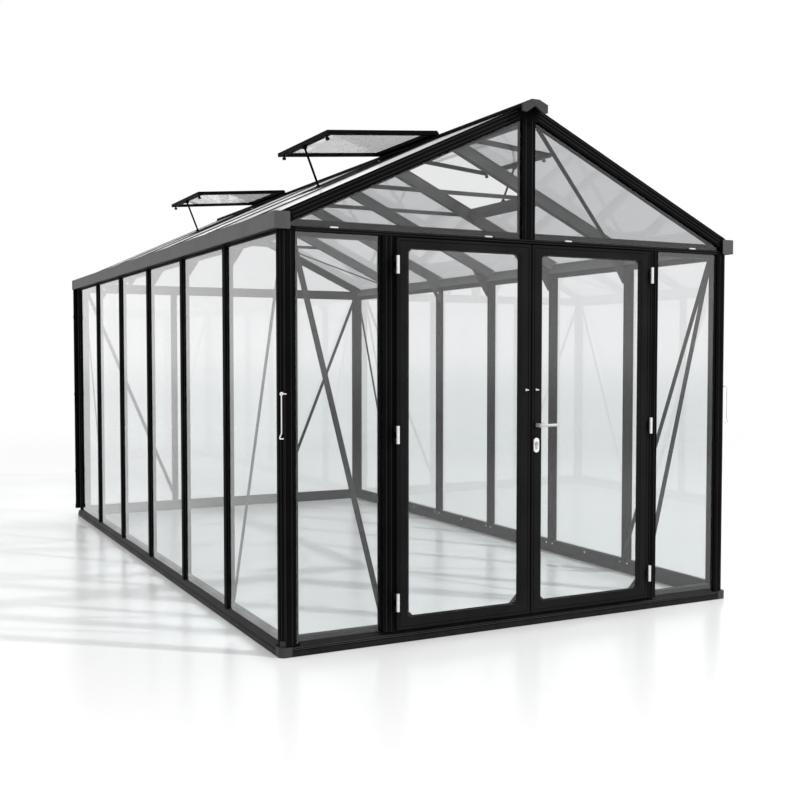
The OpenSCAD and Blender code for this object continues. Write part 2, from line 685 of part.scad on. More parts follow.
module left_door_frame() { color(black) to_end(-1) to_side(-1) leaf_frame(); }
module left_door_glass() { to_end(-1) to_side(-1) leaf_glass(); }
module left_door_hinges() { color(silver) to_end(-1) to_side(-1) for (z = hinge_zs) leaf_hinge(z); }
module right_door_frame() {
  color(black) difference() {
    to_end(-1) leaf_frame();
    translate([lever_x, -gy, lever_z]) rotate([90, 0, 0])
      cylinder(h = 4 * leaf_t, r = spindle_r + spindle_play, center = true);
  }
}
module right_door_glass() { to_end(-1) leaf_glass(); }
module right_door_hinges() { color(silver) to_end(-1) for (z = hinge_zs) leaf_hinge(z); }

// Eye on a leaf's meeting stile that takes the hold-back hook
module door_eye() {
  base_t = 3;
  translate([door_eye_x, gy + leaf_front, hook_z]) rotate([-90, 0, 0]) {
    cylinder(h = base_t, r = 7);
    cylinder(h = door_eye_out, r = 4);
  }
}
module left_door_eye() { color(silver) to_end(-1) to_side(-1) door_eye(); }
module right_door_eye() { color(silver) to_end(-1) door_eye(); }

// Oval lock plates and lever roses on both faces of the right leaf
module lock_escutcheon() {
  straight = lock_h - lock_w;
  color(silver) for (face = [-(gy + leaf_front), -(gy + leaf_back) + lock_t]) {
    translate([lever_x, face, lock_z]) rotate([90, 0, 0]) linear_extrude(lock_t) {
      for (z = [-1, 1]) translate([0, z * straight / 2]) circle(d = lock_w);
      square([lock_w, straight], center = true);
    }
    translate([lever_x, face, lever_z]) rotate([90, 0, 0]) linear_extrude(rose_t) difference() {
      circle(rose_r);
      circle(spindle_r + spindle_play);
    }
  }
}
// Lever on both faces, joined by the spindle through the leaf
module lever_grip() {
  rotate([90, 0, 0]) linear_extrude(grip_t) {
    circle(grip_h / 2);
    translate([0, -grip_h / 2]) square([lever_len - grip_h / 2, grip_h]);
    translate([lever_len - grip_h / 2, 0]) circle(grip_h / 2);
  }
}
module lever_handle() {
  front = -(gy + leaf_front + lever_out);
  back = -(gy + leaf_back - lever_out);
  color(silver) translate([lever_x, 0, lever_z]) {
    translate([0, back, 0]) rotate([90, 0, 0]) cylinder(h = back - front, r = spindle_r);
    translate([0, front + grip_t / 2, 0]) lever_grip();
    translate([0, back + grip_t / 2, 0]) lever_grip();
  }
}

// Screw eye on a front corner post's chamfer, ring lying level
module post_eyes() {
  color(silver) to_end(-1) left_right() {
    translate([eye_x, eye_y, hook_z]) rotate_extrude() translate([eye_ring_r, 0]) circle(wire_r);
    translate([eye_x, chamfer_mid_y + 1, hook_z]) rotate([-90, 0, 0]) cylinder(h = eye_shank - 1, r = 0.75 * wire_r);
    translate([chamfer_mid_x, chamfer_mid_y, hook_z]) rotate([0, 90, 45]) cylinder(h = 4, r = 7);
  }
}
// Hook hanging from the ring: a loop, a straight rod and a bent tip
module hook() {
  rod_len = hook_len - hook_loop_r - hook_bend_r;
  translate([hook_x, eye_y, hook_z]) {
    rotate([90, 0, 0]) translate([0, 0, -wire_r]) linear_extrude(2 * wire_r) difference() {
      circle(hook_loop_r + wire_r);
      circle(hook_loop_r - wire_r);
    }
    translate([0, 0, -hook_loop_r - rod_len]) cylinder(h = rod_len, r = wire_r);
    translate([-hook_bend_r, 0, -hook_loop_r - rod_len]) rotate([-90, 0, 0]) rotate_extrude(angle = 90)
      translate([hook_bend_r, 0]) circle(wire_r);
    translate([-hook_bend_r - hook_tip, 0, -hook_loop_r - rod_len - hook_bend_r]) rotate([0, 90, 0])
      cylinder(h = hook_tip, r = wire_r);
  }
}
module left_hook() { color(silver) to_end(-1) to_side(-1) hook(); }
module right_hook() { color(silver) to_end(-1) hook(); }

front_sill();
back_sill();
left_sill();
right_sill();
sill_corner_caps();
front_corner_posts();
back_corner_posts();
left_wall_bars();
right_wall_bars();
back_wall_bars();
door_posts();
front_transom();
back_transom();
left_gutter();
right_gutter();
gutter_end_caps();
front_rake_bars();
back_rake_bars();
gable_bars();
left_rafters();
right_rafters();
ridge_beam();
ridge_cap();
ridge_end_caps();
collar_ties();
knee_gussets();
wall_braces();
roof_braces();
left_wall_glass();
right_wall_glass();
front_side_glass();
back_wall_glass();
gable_glass();
downpipes();
left_roof_glass();
right_roof_glass();
vent_frames();
vent_glass();
vent_sills();
vent_stays();
frame_hinge_leaves();
post_eyes();
left_door_frame();
left_door_glass();
left_door_hinges();
left_door_eye();
right_door_frame();
right_door_glass();
right_door_hinges();
right_door_eye();
lock_escutcheon();
lever_handle();
left_hook();
right_hook();
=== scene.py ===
import json
import math
import bmesh
import bpy
import numpy as np
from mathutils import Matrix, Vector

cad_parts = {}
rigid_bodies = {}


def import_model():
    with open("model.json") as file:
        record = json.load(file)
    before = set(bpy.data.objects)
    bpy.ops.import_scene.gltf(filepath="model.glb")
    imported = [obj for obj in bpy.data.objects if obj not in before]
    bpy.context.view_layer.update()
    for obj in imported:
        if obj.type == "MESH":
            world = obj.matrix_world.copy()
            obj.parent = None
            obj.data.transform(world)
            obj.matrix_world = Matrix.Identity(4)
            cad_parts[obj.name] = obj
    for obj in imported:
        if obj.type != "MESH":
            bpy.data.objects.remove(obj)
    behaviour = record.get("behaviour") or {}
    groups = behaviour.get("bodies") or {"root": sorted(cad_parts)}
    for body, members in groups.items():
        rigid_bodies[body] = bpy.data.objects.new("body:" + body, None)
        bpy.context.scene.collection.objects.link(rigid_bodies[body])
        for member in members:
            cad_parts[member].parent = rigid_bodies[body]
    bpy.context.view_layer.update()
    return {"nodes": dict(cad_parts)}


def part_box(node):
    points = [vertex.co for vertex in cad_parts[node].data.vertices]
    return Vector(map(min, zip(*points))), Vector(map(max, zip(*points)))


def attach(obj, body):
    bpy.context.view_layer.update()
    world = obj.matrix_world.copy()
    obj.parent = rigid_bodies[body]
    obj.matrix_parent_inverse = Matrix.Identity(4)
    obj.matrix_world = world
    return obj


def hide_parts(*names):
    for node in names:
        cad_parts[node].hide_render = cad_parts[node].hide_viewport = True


for stale in list(bpy.data.objects):
    bpy.data.objects.remove(stale)
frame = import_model()
nodes = frame["nodes"]
scene = bpy.context.scene
scene.view_settings.view_transform = "Standard"
print("stage: frame loaded", len(nodes), "nodes")

# the house's own sizes in metres, as the construction has them
house = dict(gx=1.1975, gy=2.214,  # glass planes of the side and end walls
             pitch=0.738, bays=6, slopeDeg=25.0, ridgeZ=2.3964,
             capOut=0.011, chamfer=0.012,  # bar faces outside the glass, half of a post's cut corner
             sideHead=1.7625, endHead=1.7575,  # tops of the uprights
             transomLow=1.758, transomTop=1.778, sillFace=0.0175,
             postX=0.693, postOutX=0.749, postOut=0.024)
leaf = dict(front=0.039, back=0.005, x0=0.004, x1=0.687, z0=0.061, z1=1.751,
            rail=0.050, topRail=0.044, corner=0.012)
gx, gy, capOut = house["gx"], house["gy"], house["capOut"]
sideHead, endHead = house["sideHead"], house["endHead"]
slope = math.radians(house["slopeDeg"])
barLines = np.arange(1, house["bays"]) * house["pitch"] - gy
leafFace, leafRear = -(gy + leaf["front"]), -(gy + leaf["back"])
sides = (-1.0, 1.0)
words = {-1.0: "left", 1.0: "right"}
xAxis, yAxis, zAxis = np.eye(3)
sharpEdge = 40  # degrees; flatter edges are shaded smooth


def vec(*xyz):
    return np.array(xyz, float)


def unit(vector):
    return np.asarray(vector, float) / np.linalg.norm(vector)


# height of the roof's top line over a point x across the gable
def roofZ(x):
    return house["ridgeZ"] - math.tan(slope) * abs(x)


# point on a slope: s runs down from the ridge, h stands square to the roof
def slopePoint(side, s, y, h):
    return vec(side * (s * math.cos(slope) + h * math.sin(slope)), y,
               house["ridgeZ"] - s * math.sin(slope) + h * math.cos(slope))


def slopeUp(side):
    return slopePoint(side, 0, 0, 1) - slopePoint(side, 0, 0, 0)


# middle of a corner post's cut face, with its directions along and out
def cutFace(side, end):
    mid = vec(side * (gx + capOut - house["chamfer"]), end * (gy + capOut - house["chamfer"]), 0)
    return mid, unit((side, -end, 0)), unit((side, end, 0))


# faces over n rings of k points: flat ends, or the last ring joined to the first
def ringFaces(n, k, closed=False):
    index = np.arange(n * k).reshape(n, k)
    rows = np.concatenate([index, index[:1]]) if closed else index
    turn = np.roll(rows, -1, axis=1)
    quads = np.stack([rows[:-1], turn[:-1], turn[1:], rows[1:]], -1).reshape(-1, 4).tolist()
    return quads if closed else quads + [index[0][::-1].tolist(), index[-1].tolist()]


# closed outline (a, b) carried along a path: point = path + a * across + b * out
def sweepSolid(outline, path, across, out):
    outline, path = np.asarray(outline, float), np.asarray(path, float)
    n, k = len(path), len(outline)
    across, out = (np.broadcast_to(np.asarray(d, float), (n, 3))[:, None] for d in (across, out))
    rings = path[:, None] + outline[None, :, :1] * across + outline[None, :, 1:] * out
    return rings.reshape(-1, 3), ringFaces(n, k)


# the same, straight up from z0 to z1 at (x, y)
def upright(outline, x, y, z0, z1, across, out):
    return sweepSolid(outline, [vec(x, y, z0), vec(x, y, z1)], across, out)


# surface of revolution: radius r(t) at height h(t) along an axis, turned through v = 0..360 degrees
def lathe(centre, axis, radii, heights, turns=12, closed=False):
    axis = unit(axis)
    u = unit(np.cross(axis, zAxis if abs(axis[2]) < 0.9 else xAxis))
    w = np.cross(axis, u)
    v = np.arange(turns) * 2 * math.pi / turns
    spokes = np.cos(v)[:, None] * u + np.sin(v)[:, None] * w
    radii, heights = np.asarray(radii, float), np.asarray(heights, float)
    points = np.asarray(centre) + radii[:, None, None] * spokes + (heights[:, None] * axis)[:, None]
    return points.reshape(-1, 3), ringFaces(len(radii), turns, closed)


# half-round outline of a rib, its flat side at b = 0
def halfRound(width, height, steps=7):
    t = np.linspace(0, math.pi, steps)
    return np.stack([width / 2 * np.cos(t), height * np.sin(t)], 1)


def boxOutline(width, height):
    return np.array([[-width / 2, 0], [width / 2, 0], [width / 2, height], [-width / 2, height]])


def circle(r, steps=12):
    t = np.linspace(0, 2 * math.pi, steps + 1)[:-1]
    return r * np.stack([np.cos(t), np.sin(t)], 1)


# joins the parts into one mesh with faces turned outwards, and lets it ride on a body
def makePiece(name, parts, body, look, smoothDeg=None, bevel=None):
    verts, faces, base = [], [], 0
    for points, polys in parts:
        verts.append(points)
        faces += [[base + i for i in poly] for poly in polys]
        base += len(points)
    mesh = bpy.data.meshes.new(name)
    mesh.from_pydata(np.concatenate(verts).tolist(), [], faces)
    work = bmesh.new()
    work.from_mesh(mesh)
    bmesh.ops.recalc_face_normals(work, faces=work.faces)
    work.to_mesh(mesh)
    work.free()
    piece = bpy.data.objects.new(name, mesh)
    scene.collection.objects.link(piece)
    mesh.materials.append(finish[look])
    if smoothDeg is not None:
        mesh.shade_smooth()
        mesh.set_sharp_from_angle(angle=math.radians(smoothDeg))
    if bevel:
        edge = piece.modifiers.new("softEdge", "BEVEL")
        edge.width, edge.segments = bevel, 2
    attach(piece, body)
    return piece


# node helpers for the finishes
def setSockets(node, values):
    for label, value in values.items():
        node.inputs[label].default_value = value
    return node


def addNode(tree, kind, **values):
    return setSockets(tree.nodes.new("ShaderNode" + kind), values)


# each operand is a number or a socket
def mathNode(tree, operation, first, second=None):
    node = addNode(tree, "Math")
    node.operation = operation
    for socket, value in zip(node.inputs, (first, second)):
        if isinstance(value, (int, float)):
            socket.default_value = value
        elif value is not None:
            tree.links.new(value, socket)
    return node.outputs[0]


def mapRange(tree, value, fromSpan=(0.0, 1.0), toSpan=(0.0, 1.0), smooth=False):
    node = addNode(tree, "MapRange")
    setSockets(node, {"From Min": fromSpan[0], "From Max": fromSpan[1],
                      "To Min": toSpan[0], "To Max": toSpan[1]})
    if smooth:
        node.interpolation_type = "SMOOTHSTEP"
    tree.links.new(value, node.inputs["Value"])
    return node


# each colour is three numbers or a socket
def colourMix(tree, factor, first, second):
    node = addNode(tree, "Mix")
    node.data_type = "RGBA"
    tree.links.new(factor, node.inputs["Factor"])
    for label, value in (("A", first), ("B", second)):
        if isinstance(value, tuple):
            node.inputs[label].default_value = (*value, 1)
        else:
            tree.links.new(value, node.inputs[label])
    return node.outputs["Result"]


def colourRamp(tree, factor, low, high, start, stop):
    node = addNode(tree, "ValToRGB")
    for element, place, tone in zip(node.color_ramp.elements, (start, stop), (low, high)):
        element.position, element.color = place, (*tone, 1)
    tree.links.new(factor, node.inputs["Fac"])
    return node.outputs["Color"]


def objectXyz(tree):
    coord, split = addNode(tree, "TexCoord"), addNode(tree, "SeparateXYZ")
    tree.links.new(coord.outputs["Object"], split.inputs[0])
    return split.outputs


def newGroup(name, inputs, outputs):
    group = bpy.data.node_groups.new(name, "ShaderNodeTree")
    for label, value in inputs:
        socket = group.interface.new_socket(label, in_out="INPUT", socket_type="NodeSocketFloat")
        socket.default_value = value
    for label in outputs:
        group.interface.new_socket(label, in_out="OUTPUT", socket_type="NodeSocketFloat")
    return group, group.nodes.new("NodeGroupInput"), group.nodes.new("NodeGroupOutput")


def placeGroup(tree, group, values):
    node = tree.nodes.new("ShaderNodeGroup")
    node.node_tree = group
    return setSockets(node, values).outputs


# skin of a coat: fine noise for its height, and fine and cloudy noise together for its tone
def buildCoatGroup():
    group, gIn, gOut = newGroup("coatSkin", [("Fine Scale", 900.0), ("Cloud Scale", 5.0)],
                                ["Tone", "Height"])
    links, coord = group.links, addNode(group, "TexCoord")
    fine, cloud = addNode(group, "TexNoise", Detail=2.0), addNode(group, "TexNoise", Detail=5.0)
    for noise, label in ((fine, "Fine Scale"), (cloud, "Cloud Scale")):
        links.new(coord.outputs["Object"], noise.inputs["Vector"])
        links.new(gIn.outputs[label], noise.inputs["Scale"])
    speckle = mathNode(group, "MULTIPLY", fine.outputs["Fac"], 0.3)
    links.new(mathNode(group, "ADD", speckle, cloud.outputs["Fac"]), gOut.inputs["Tone"])
    links.new(fine.outputs["Fac"], gOut.inputs["Height"])
    return group


# rain film: upright streaks that thicken towards the ground
def buildFilmGroup():
    group, gIn, gOut = newGroup("rainFilm", [("Streak Scale", 14.0), ("Low Edge", 0.7)], ["Mask"])
    links, coord = group.links, addNode(group, "TexCoord")
    stretch = addNode(group, "Mapping", Scale=(1.0, 1.0, 0.06))
    noise = addNode(group, "TexNoise", Detail=4.0)
    links.new(coord.outputs["Object"], stretch.inputs["Vector"])
    links.new(stretch.outputs["Vector"], noise.inputs["Vector"])
    links.new(gIn.outputs["Streak Scale"], noise.inputs["Scale"])
    fade = mapRange(group, objectXyz(group)["Z"], (0.7, 0.0))
    links.new(gIn.outputs["Low Edge"], fade.inputs["From Min"])
    streaks = mathNode(group, "MULTIPLY", fade.outputs["Result"], noise.outputs["Fac"])
    links.new(streaks, gOut.inputs["Mask"])
    return group


coatGroup, filmGroup = buildCoatGroup(), buildFilmGroup()


def newMaterial(name):
    material = bpy.data.materials.new(name)
    material.use_nodes = True
    return material, material.node_tree, material.node_tree.nodes["Principled BSDF"]


coat = dict(dustEdge=0.25, toneSpan=(0.35, 0.9), smoother=0.06, rougher=0.10, bumpDepth=0.0004,
            under=(0.0025, 0.0025, 0.0027), underSpec=0.1)


# painted or bare metal: tone and skin height from the coat group, dust low down from the film group
def metalFinish(name, low, high, dust, rough, metallic=0.0, fineScale=900.0, bump=0.12, spec=0.3):
    material, tree, shader = newMaterial(name)
    skin = placeGroup(tree, coatGroup, {"Fine Scale": fineScale})
    film = placeGroup(tree, filmGroup, {"Low Edge": coat["dustEdge"]})
    tone = colourRamp(tree, skin["Tone"], low, high, *coat["toneSpan"])
    roughness = mapRange(tree, skin["Tone"], toSpan=(rough - coat["smoother"], rough + coat["rougher"]))
    skinBump = addNode(tree, "Bump", Strength=bump, Distance=coat["bumpDepth"])
    tree.links.new(skin["Height"], skinBump.inputs["Height"])
    tree.links.new(colourMix(tree, film["Mask"], tone, dust), shader.inputs["Base Color"])
    tree.links.new(roughness.outputs["Result"], shader.inputs["Roughness"])
    tree.links.new(skinBump.outputs["Normal"], shader.inputs["Normal"])
    setSockets(shader, {"Metallic": metallic, "Specular IOR Level": spec})
    return material


# keeps a finish only where the mask is 1, with the black coat elsewhere on the same piece
def blackOutside(material, buildMask, metallic=0.0):
    tree = material.node_tree
    shader, mask = tree.nodes["Principled BSDF"], buildMask(tree)
    own = shader.inputs["Base Color"].links[0].from_socket
    tree.links.new(colourMix(tree, mask, coat["under"], own), shader.inputs["Base Color"])
    if metallic:
        tree.links.new(mathNode(tree, "MULTIPLY", mask, metallic), shader.inputs["Metallic"])
    shader.inputs["Specular IOR Level"].default_value = coat["underSpec"]
    return material


masks = dict(hingeX=0.690, hingeY=-2.265, barrelR=0.0073, gutterFoot=1.7642, plateTop=0.885)


# 1 inside the hinge barrel: distance from its axis below its radius
def barrelMask(tree):
    xyz = objectXyz(tree)
    dx = mathNode(tree, "SUBTRACT", mathNode(tree, "ABSOLUTE", xyz["X"]), masks["hingeX"])
    dy = mathNode(tree, "SUBTRACT", xyz["Y"], masks["hingeY"])
    squares = (mathNode(tree, "MULTIPLY", d, d) for d in (dx, dy))
    away = mathNode(tree, "SQRT", mathNode(tree, "ADD", *squares))
    return mathNode(tree, "LESS_THAN", away, masks["barrelR"])


# 1 above the gutter's underside
def gutterMask(tree):
    return mathNode(tree, "GREATER_THAN", objectXyz(tree)["Z"], masks["gutterFoot"])


# 1 on the lock plates, which lie below the roses
def plateMask(tree):
    return mathNode(tree, "LESS_THAN", objectXyz(tree)["Z"], masks["plateTop"])


# paintedReflectionSpan: heights over which the glass darkens with painted reflection
pane = dict(filmEdge=1.1, paintedReflectionSpan=(1.32, 0.95), streak=0.12, roughSpan=(0.004, 0.03),
            glossLoss=0.85, sheenRough=0.25, lampTint=(0.92, 0.94, 0.94, 1))


# glass: clear slab darkened towards the ground by a painted reflection of the horizon, under a faint
# rain film, and lamps shine through it
def glassFinish(name, clear, filmAndPaintedReflection, dust=0.0, ior=1.45, gloss=0.0):
    material, tree, shader = newMaterial(name)
    links = tree.links
    film = placeGroup(tree, filmGroup, {"Low Edge": pane["filmEdge"]})["Mask"]
    # painted reflection: a darker glass tone from 1.32 m down to 0.95 m, standing in for the horizon
    # seen in and through the glass
    paintedReflection = mapRange(tree, objectXyz(tree)["Z"], pane["paintedReflectionSpan"], smooth=True).outputs["Result"]
    reflectionAndStreaks = mathNode(tree, "ADD", paintedReflection, mathNode(tree, "MULTIPLY", film, pane["streak"]))
    links.new(colourRamp(tree, reflectionAndStreaks, clear, filmAndPaintedReflection, 0.0, 1.0), shader.inputs["Base Color"])
    roughness = mapRange(tree, film, toSpan=pane["roughSpan"])
    links.new(roughness.outputs["Result"], shader.inputs["Roughness"])
    setSockets(shader, {"Transmission Weight": 1.0, "IOR": ior, "Sheen Weight": dust,
                        "Sheen Roughness": pane["sheenRough"], "Coat Roughness": 0.0})
    if gloss:  # fades with the painted reflection low down
        loss = mathNode(tree, "MULTIPLY", paintedReflection, pane["glossLoss"] * gloss)
        links.new(mathNode(tree, "SUBTRACT", gloss, loss), shader.inputs["Coat Weight"])
    path, mix = addNode(tree, "LightPath"), addNode(tree, "MixShader")
    through = addNode(tree, "BsdfTransparent", Color=pane["lampTint"])
    links.new(path.outputs["Is Shadow Ray"], mix.inputs["Fac"])
    links.new(shader.outputs["BSDF"], mix.inputs[1])
    links.new(through.outputs["BSDF"], mix.inputs[2])
    links.new(mix.outputs["Shader"], tree.nodes["Material Output"].inputs["Surface"])
    return material


satinMetallic = 0.4


def satin(name, low=(0.66, 0.66, 0.66), high=(0.78, 0.78, 0.77), dust=(0.6, 0.6, 0.59),
          rough=0.34, spec=0.5):
    return metalFinish(name, low, high, dust, rough, satinMetallic, 1400.0, 0.05, spec)


# each metal: dark and light tone of the coat, dust tone, roughness
finish = dict(
    black=metalFinish("blackCoat", (0.0010, 0.0010, 0.0011), (0.0030, 0.0030, 0.0032),
                      (0.008, 0.0078, 0.0075), 0.5, spec=0.025),
    # inner frames: a lighter tone than the black coat, painted reflection of the glass they are seen
    # through
    inner=metalFinish("innerPaintedReflection", (0.024, 0.024, 0.0245), (0.046, 0.046, 0.047),
                      (0.03, 0.029, 0.028), 0.5, spec=0.15),
    # braces: a tone between the black coat and the inner frames, painted reflection of the glass in
    # front of them
    brace=metalFinish("bracePaintedReflection", (0.009, 0.009, 0.0095), (0.020, 0.020, 0.0205),
                      (0.02, 0.0195, 0.019), 0.5, spec=0.1),
    rib=metalFinish("blackRib", (0.0045, 0.0045, 0.0047), (0.010, 0.010, 0.0103),
                    (0.016, 0.0155, 0.015), 0.45, spec=0.1),
    leaf=metalFinish("leafCoat", (0.0055, 0.0055, 0.0057), (0.0105, 0.0105, 0.0108),
                     (0.014, 0.0136, 0.013), 0.5, spec=0.04),
    sill=metalFinish("sillCoat", (0.003, 0.003, 0.0032), (0.0065, 0.0065, 0.0067),
                     (0.014, 0.0136, 0.013), 0.42, spec=0.10),
    grey=blackOutside(metalFinish("greyCoat", (0.085, 0.086, 0.088), (0.13, 0.131, 0.133),
                                  (0.14, 0.136, 0.13), 0.5), gutterMask),
    cap=metalFinish("greyPlastic", (0.045, 0.045, 0.047), (0.075, 0.075, 0.076),
                    (0.09, 0.088, 0.084), 0.55, bump=0.2, spec=0.15),
    ridge=metalFinish("ridgePlastic", (0.018, 0.018, 0.019), (0.034, 0.034, 0.035),
                      (0.05, 0.05, 0.05), 0.5, bump=0.2, spec=0.2),
    bright=satin("satinMetal"),
    grip=satin("gripMetal", (0.36, 0.36, 0.36), (0.48, 0.48, 0.475), (0.4, 0.4, 0.39), 0.36, 0.4),
    barrel=blackOutside(satin("hingeMetal"), barrelMask, satinMetallic),
    plate=blackOutside(satin("lockMetal"), plateMask, satinMetallic),
    seal=metalFinish("sealRubber", (0.004, 0.004, 0.004), (0.009, 0.009, 0.009),
                     (0.02, 0.019, 0.018), 0.7, spec=0.1),
    block=metalFinish("settingBlock", (0.62, 0.62, 0.60), (0.74, 0.74, 0.72),
                      (0.6, 0.59, 0.56), 0.5),
    dark=metalFinish("keySlot", (0.004, 0.004, 0.004), (0.01, 0.01, 0.01),
                     (0.01, 0.01, 0.01), 0.6, spec=0.1),
    # each glass: clear tone, then its low tone, which is painted reflection lower down and also the
    # colour of the rain film streaks
    glass=glassFinish("wallGlass", (0.905, 0.91, 0.915), (0.825, 0.845, 0.85), gloss=0.75),
    gable=glassFinish("gableGlass", (0.79, 0.795, 0.80), (0.75, 0.755, 0.76)),
    vent=glassFinish("ventGlass", (0.91, 0.915, 0.92), (0.89, 0.895, 0.90), ior=1.3),
    roof=glassFinish("roofGlass", (0.64, 0.65, 0.66), (0.58, 0.59, 0.60), dust=1.0, ior=1.18))

# the first word found in a node's name gives its finish
nodeLooks = (("vent_glass", "vent"), ("roof_glass", "roof"), ("gable_glass", "gable"),
             ("glass", "glass"), ("hinge", "barrel"), ("lock", "plate"), ("eye", "bright"),
             ("lever", "bright"), ("hook", "bright"), ("gutter_end_caps", "cap"), ("caps", "ridge"),
             # the inner members take the inner finish with its painted reflection
             ("gutter", "grey"), ("rafters", "inner"), ("ridge_beam", "inner"), ("ties", "inner"),
             ("gussets", "inner"), ("vent_sills", "inner"), ("brace", "brace"),
             ("door_frame", "leaf"), ("sill", "sill"))
for name, node in nodes.items():
    look = next((key for word, key in nodeLooks if word in name), "black")
    node.data.materials.clear()
    node.data.materials.append(finish[look])
print("stage: finishes on", len(nodes), "nodes")

# half-round ribs along the bars, rafters, posts and rakes
ribs = dict(width=0.0045, height=0.0018, barSpread=0.010, barFoot=0.058, backBars=(-0.452, 0.452),
            rafterRun=(0.08, 1.322), rakeRun=(0.075, 1.285), rakeDepths=(0.010, 0.026, 0.042),
            cutSpread=0.007, cutFoot=0.066, postIn=(0.036, 0.008), postFoot=0.042, postSide=0.022,
            transomEdge=0.005, transomIn=0.058, gableSpread=0.017, gableFoot=0.001, gableHead=0.062,
            doorPost=(0.016, 0.040), doorPostFoot=0.056)
ribOutline = halfRound(ribs["width"], ribs["height"])
wallRibs, roofRibs, endRibs = [], [], []
for side in sides:
    faceX = side * (gx + capOut)
    for y in barLines:
        for off in (-ribs["barSpread"], ribs["barSpread"]):
            wallRibs.append(upright(ribOutline, faceX, y + off, ribs["barFoot"], sideHead,
                                    yAxis, side * xAxis))
            roofRibs.append(sweepSolid(ribOutline, [slopePoint(side, s, y + off, 0)
                                                    for s in ribs["rafterRun"]], yAxis, slopeUp(side)))
    for end in sides:
        # corner post: two ribs on the cut corner, two on the end face, one on the side
        faceY = end * (gy + capOut)
        mid, along, out = cutFace(side, end)
        for off in (-ribs["cutSpread"], ribs["cutSpread"]):
            x, y, _ = mid + off * along
            endRibs.append(upright(ribOutline, x, y, ribs["cutFoot"], sideHead, along, out))
        for off in ribs["postIn"]:
            endRibs.append(upright(ribOutline, side * (gx - off), faceY, ribs["postFoot"], endHead,
                                   xAxis, end * yAxis))
        endRibs.append(upright(ribOutline, faceX, end * (gy - ribs["postSide"]), ribs["postFoot"],
                               sideHead, yAxis, side * xAxis))
        # rake: three ribs down the slope
        for depth in ribs["rakeDepths"]:
            endRibs.append(sweepSolid(ribOutline, [slopePoint(side, s, faceY, -depth)
                                                   for s in ribs["rakeRun"]],
                                      slopeUp(side), end * yAxis))
    for off in ribs["doorPost"]:
        endRibs.append(upright(ribOutline, side * (house["postX"] + off), -(gy + house["postOut"]),
                               ribs["doorPostFoot"], endHead, xAxis, -yAxis))
for end in sides:
    faceY, reach = end * (gy + capOut), gx - ribs["transomIn"]
    for z in (house["transomLow"] + ribs["transomEdge"], house["transomTop"] - ribs["transomEdge"]):
        endRibs.append(sweepSolid(ribOutline, [vec(-reach, faceY, z), vec(reach, faceY, z)],
                                  zAxis, end * yAxis))
    for x in (-ribs["gableSpread"], ribs["gableSpread"]):
        endRibs.append(upright(ribOutline, x, faceY, house["transomTop"] + ribs["gableFoot"],
                               roofZ(x) - ribs["gableHead"], xAxis, end * yAxis))
for x in ribs["backBars"]:
    for off in (-ribs["barSpread"], ribs["barSpread"]):
        endRibs.append(upright(ribOutline, x + off, gy + capOut, ribs["barFoot"], endHead,
                               xAxis, yAxis))
for name, parts in (("wall_bar_ribs", wallRibs), ("rafter_ribs", roofRibs),
                    ("end_frame_ribs", endRibs)):
    makePiece(name, parts, "building", "rib", sharpEdge)

# sills: two pale lips along the outer face, each over a dark groove line
sillLines = dict(frontIn=0.034, backOut=0.02)
sillSets = (dict(name="sill_lips", heights=(0.029, 0.036), size=(0.003, 0.0015), look="ridge"),
            dict(name="sill_grooves", heights=(0.0235, 0.0318), size=(0.0048, 0.0006), look="black"))
for lines in sillSets:
    outline, parts, reach = halfRound(*lines["size"]), [], gx - sillLines["frontIn"]
    for z in lines["heights"]:
        for side in sides:
            x, y = (side * (plane + house["sillFace"]) for plane in (gx, gy))
            run = [vec(x, sillLines["frontIn"] - gy, z), vec(x, gy + sillLines["backOut"], z)]
            parts.append(sweepSolid(outline, run, zAxis, side * xAxis))
            run = [vec(-reach, y, z), vec(reach, y, z)]
            parts.append(sweepSolid(outline, run, zAxis, side * yAxis))
    makePiece(lines["name"], parts, "building", lines["look"], sharpEdge)

# gutters: a rolled lip inside the upper edge, and a dark strip under each over the side panes' heads
gutterLip = dict(x=1.2326, z=1.8311, r=0.0029, end=2.2345)
strip = dict(low=1.7565, high=1.7628, out=0.0085, standOff=0.0005, endIn=0.037)
lipParts, stripParts = [], []
stripOutline = boxOutline(strip["high"] - strip["low"], strip["out"])
stripMid = (strip["high"] + strip["low"]) / 2
for side in sides:
    run = [vec(side * gutterLip["x"], end * gutterLip["end"], gutterLip["z"]) for end in sides]
    lipParts.append(sweepSolid(circle(gutterLip["r"], 10), run, xAxis, zAxis))
    x, reach = side * (gx + strip["standOff"]), gy - strip["endIn"]
    run = [vec(x, -reach, stripMid), vec(x, reach, stripMid)]
    stripParts.append(sweepSolid(stripOutline, run, zAxis, side * xAxis))
makePiece("gutter_lips", lipParts, "building", "cap", 60)
makePiece("eave_strips", stripParts, "building", "black")

# ridge cap: two ribs on each wing
wing = dict(low=(0.065, 2.3806), high=(0.021, 2.4004), end=2.264,
            shares=(0.3, 0.7), rib=(0.004, 0.0015))
wingOutline, ridgeRibs = halfRound(*wing["rib"]), []
for side in sides:
    low, high = (vec(side * x, 0, z) for x, z in (wing["low"], wing["high"]))
    run = unit(high - low)
    out = vec(side * run[2], 0, abs(run[0]))
    for share in wing["shares"]:
        point = low + share * (high - low)
        ends = [point + end * wing["end"] * yAxis for end in sides]
        ridgeRibs.append(sweepSolid(wingOutline, ends, run, out))
makePiece("ridge_ribs", ridgeRibs, "building", "rib", sharpEdge)
print("stage: ribs done")

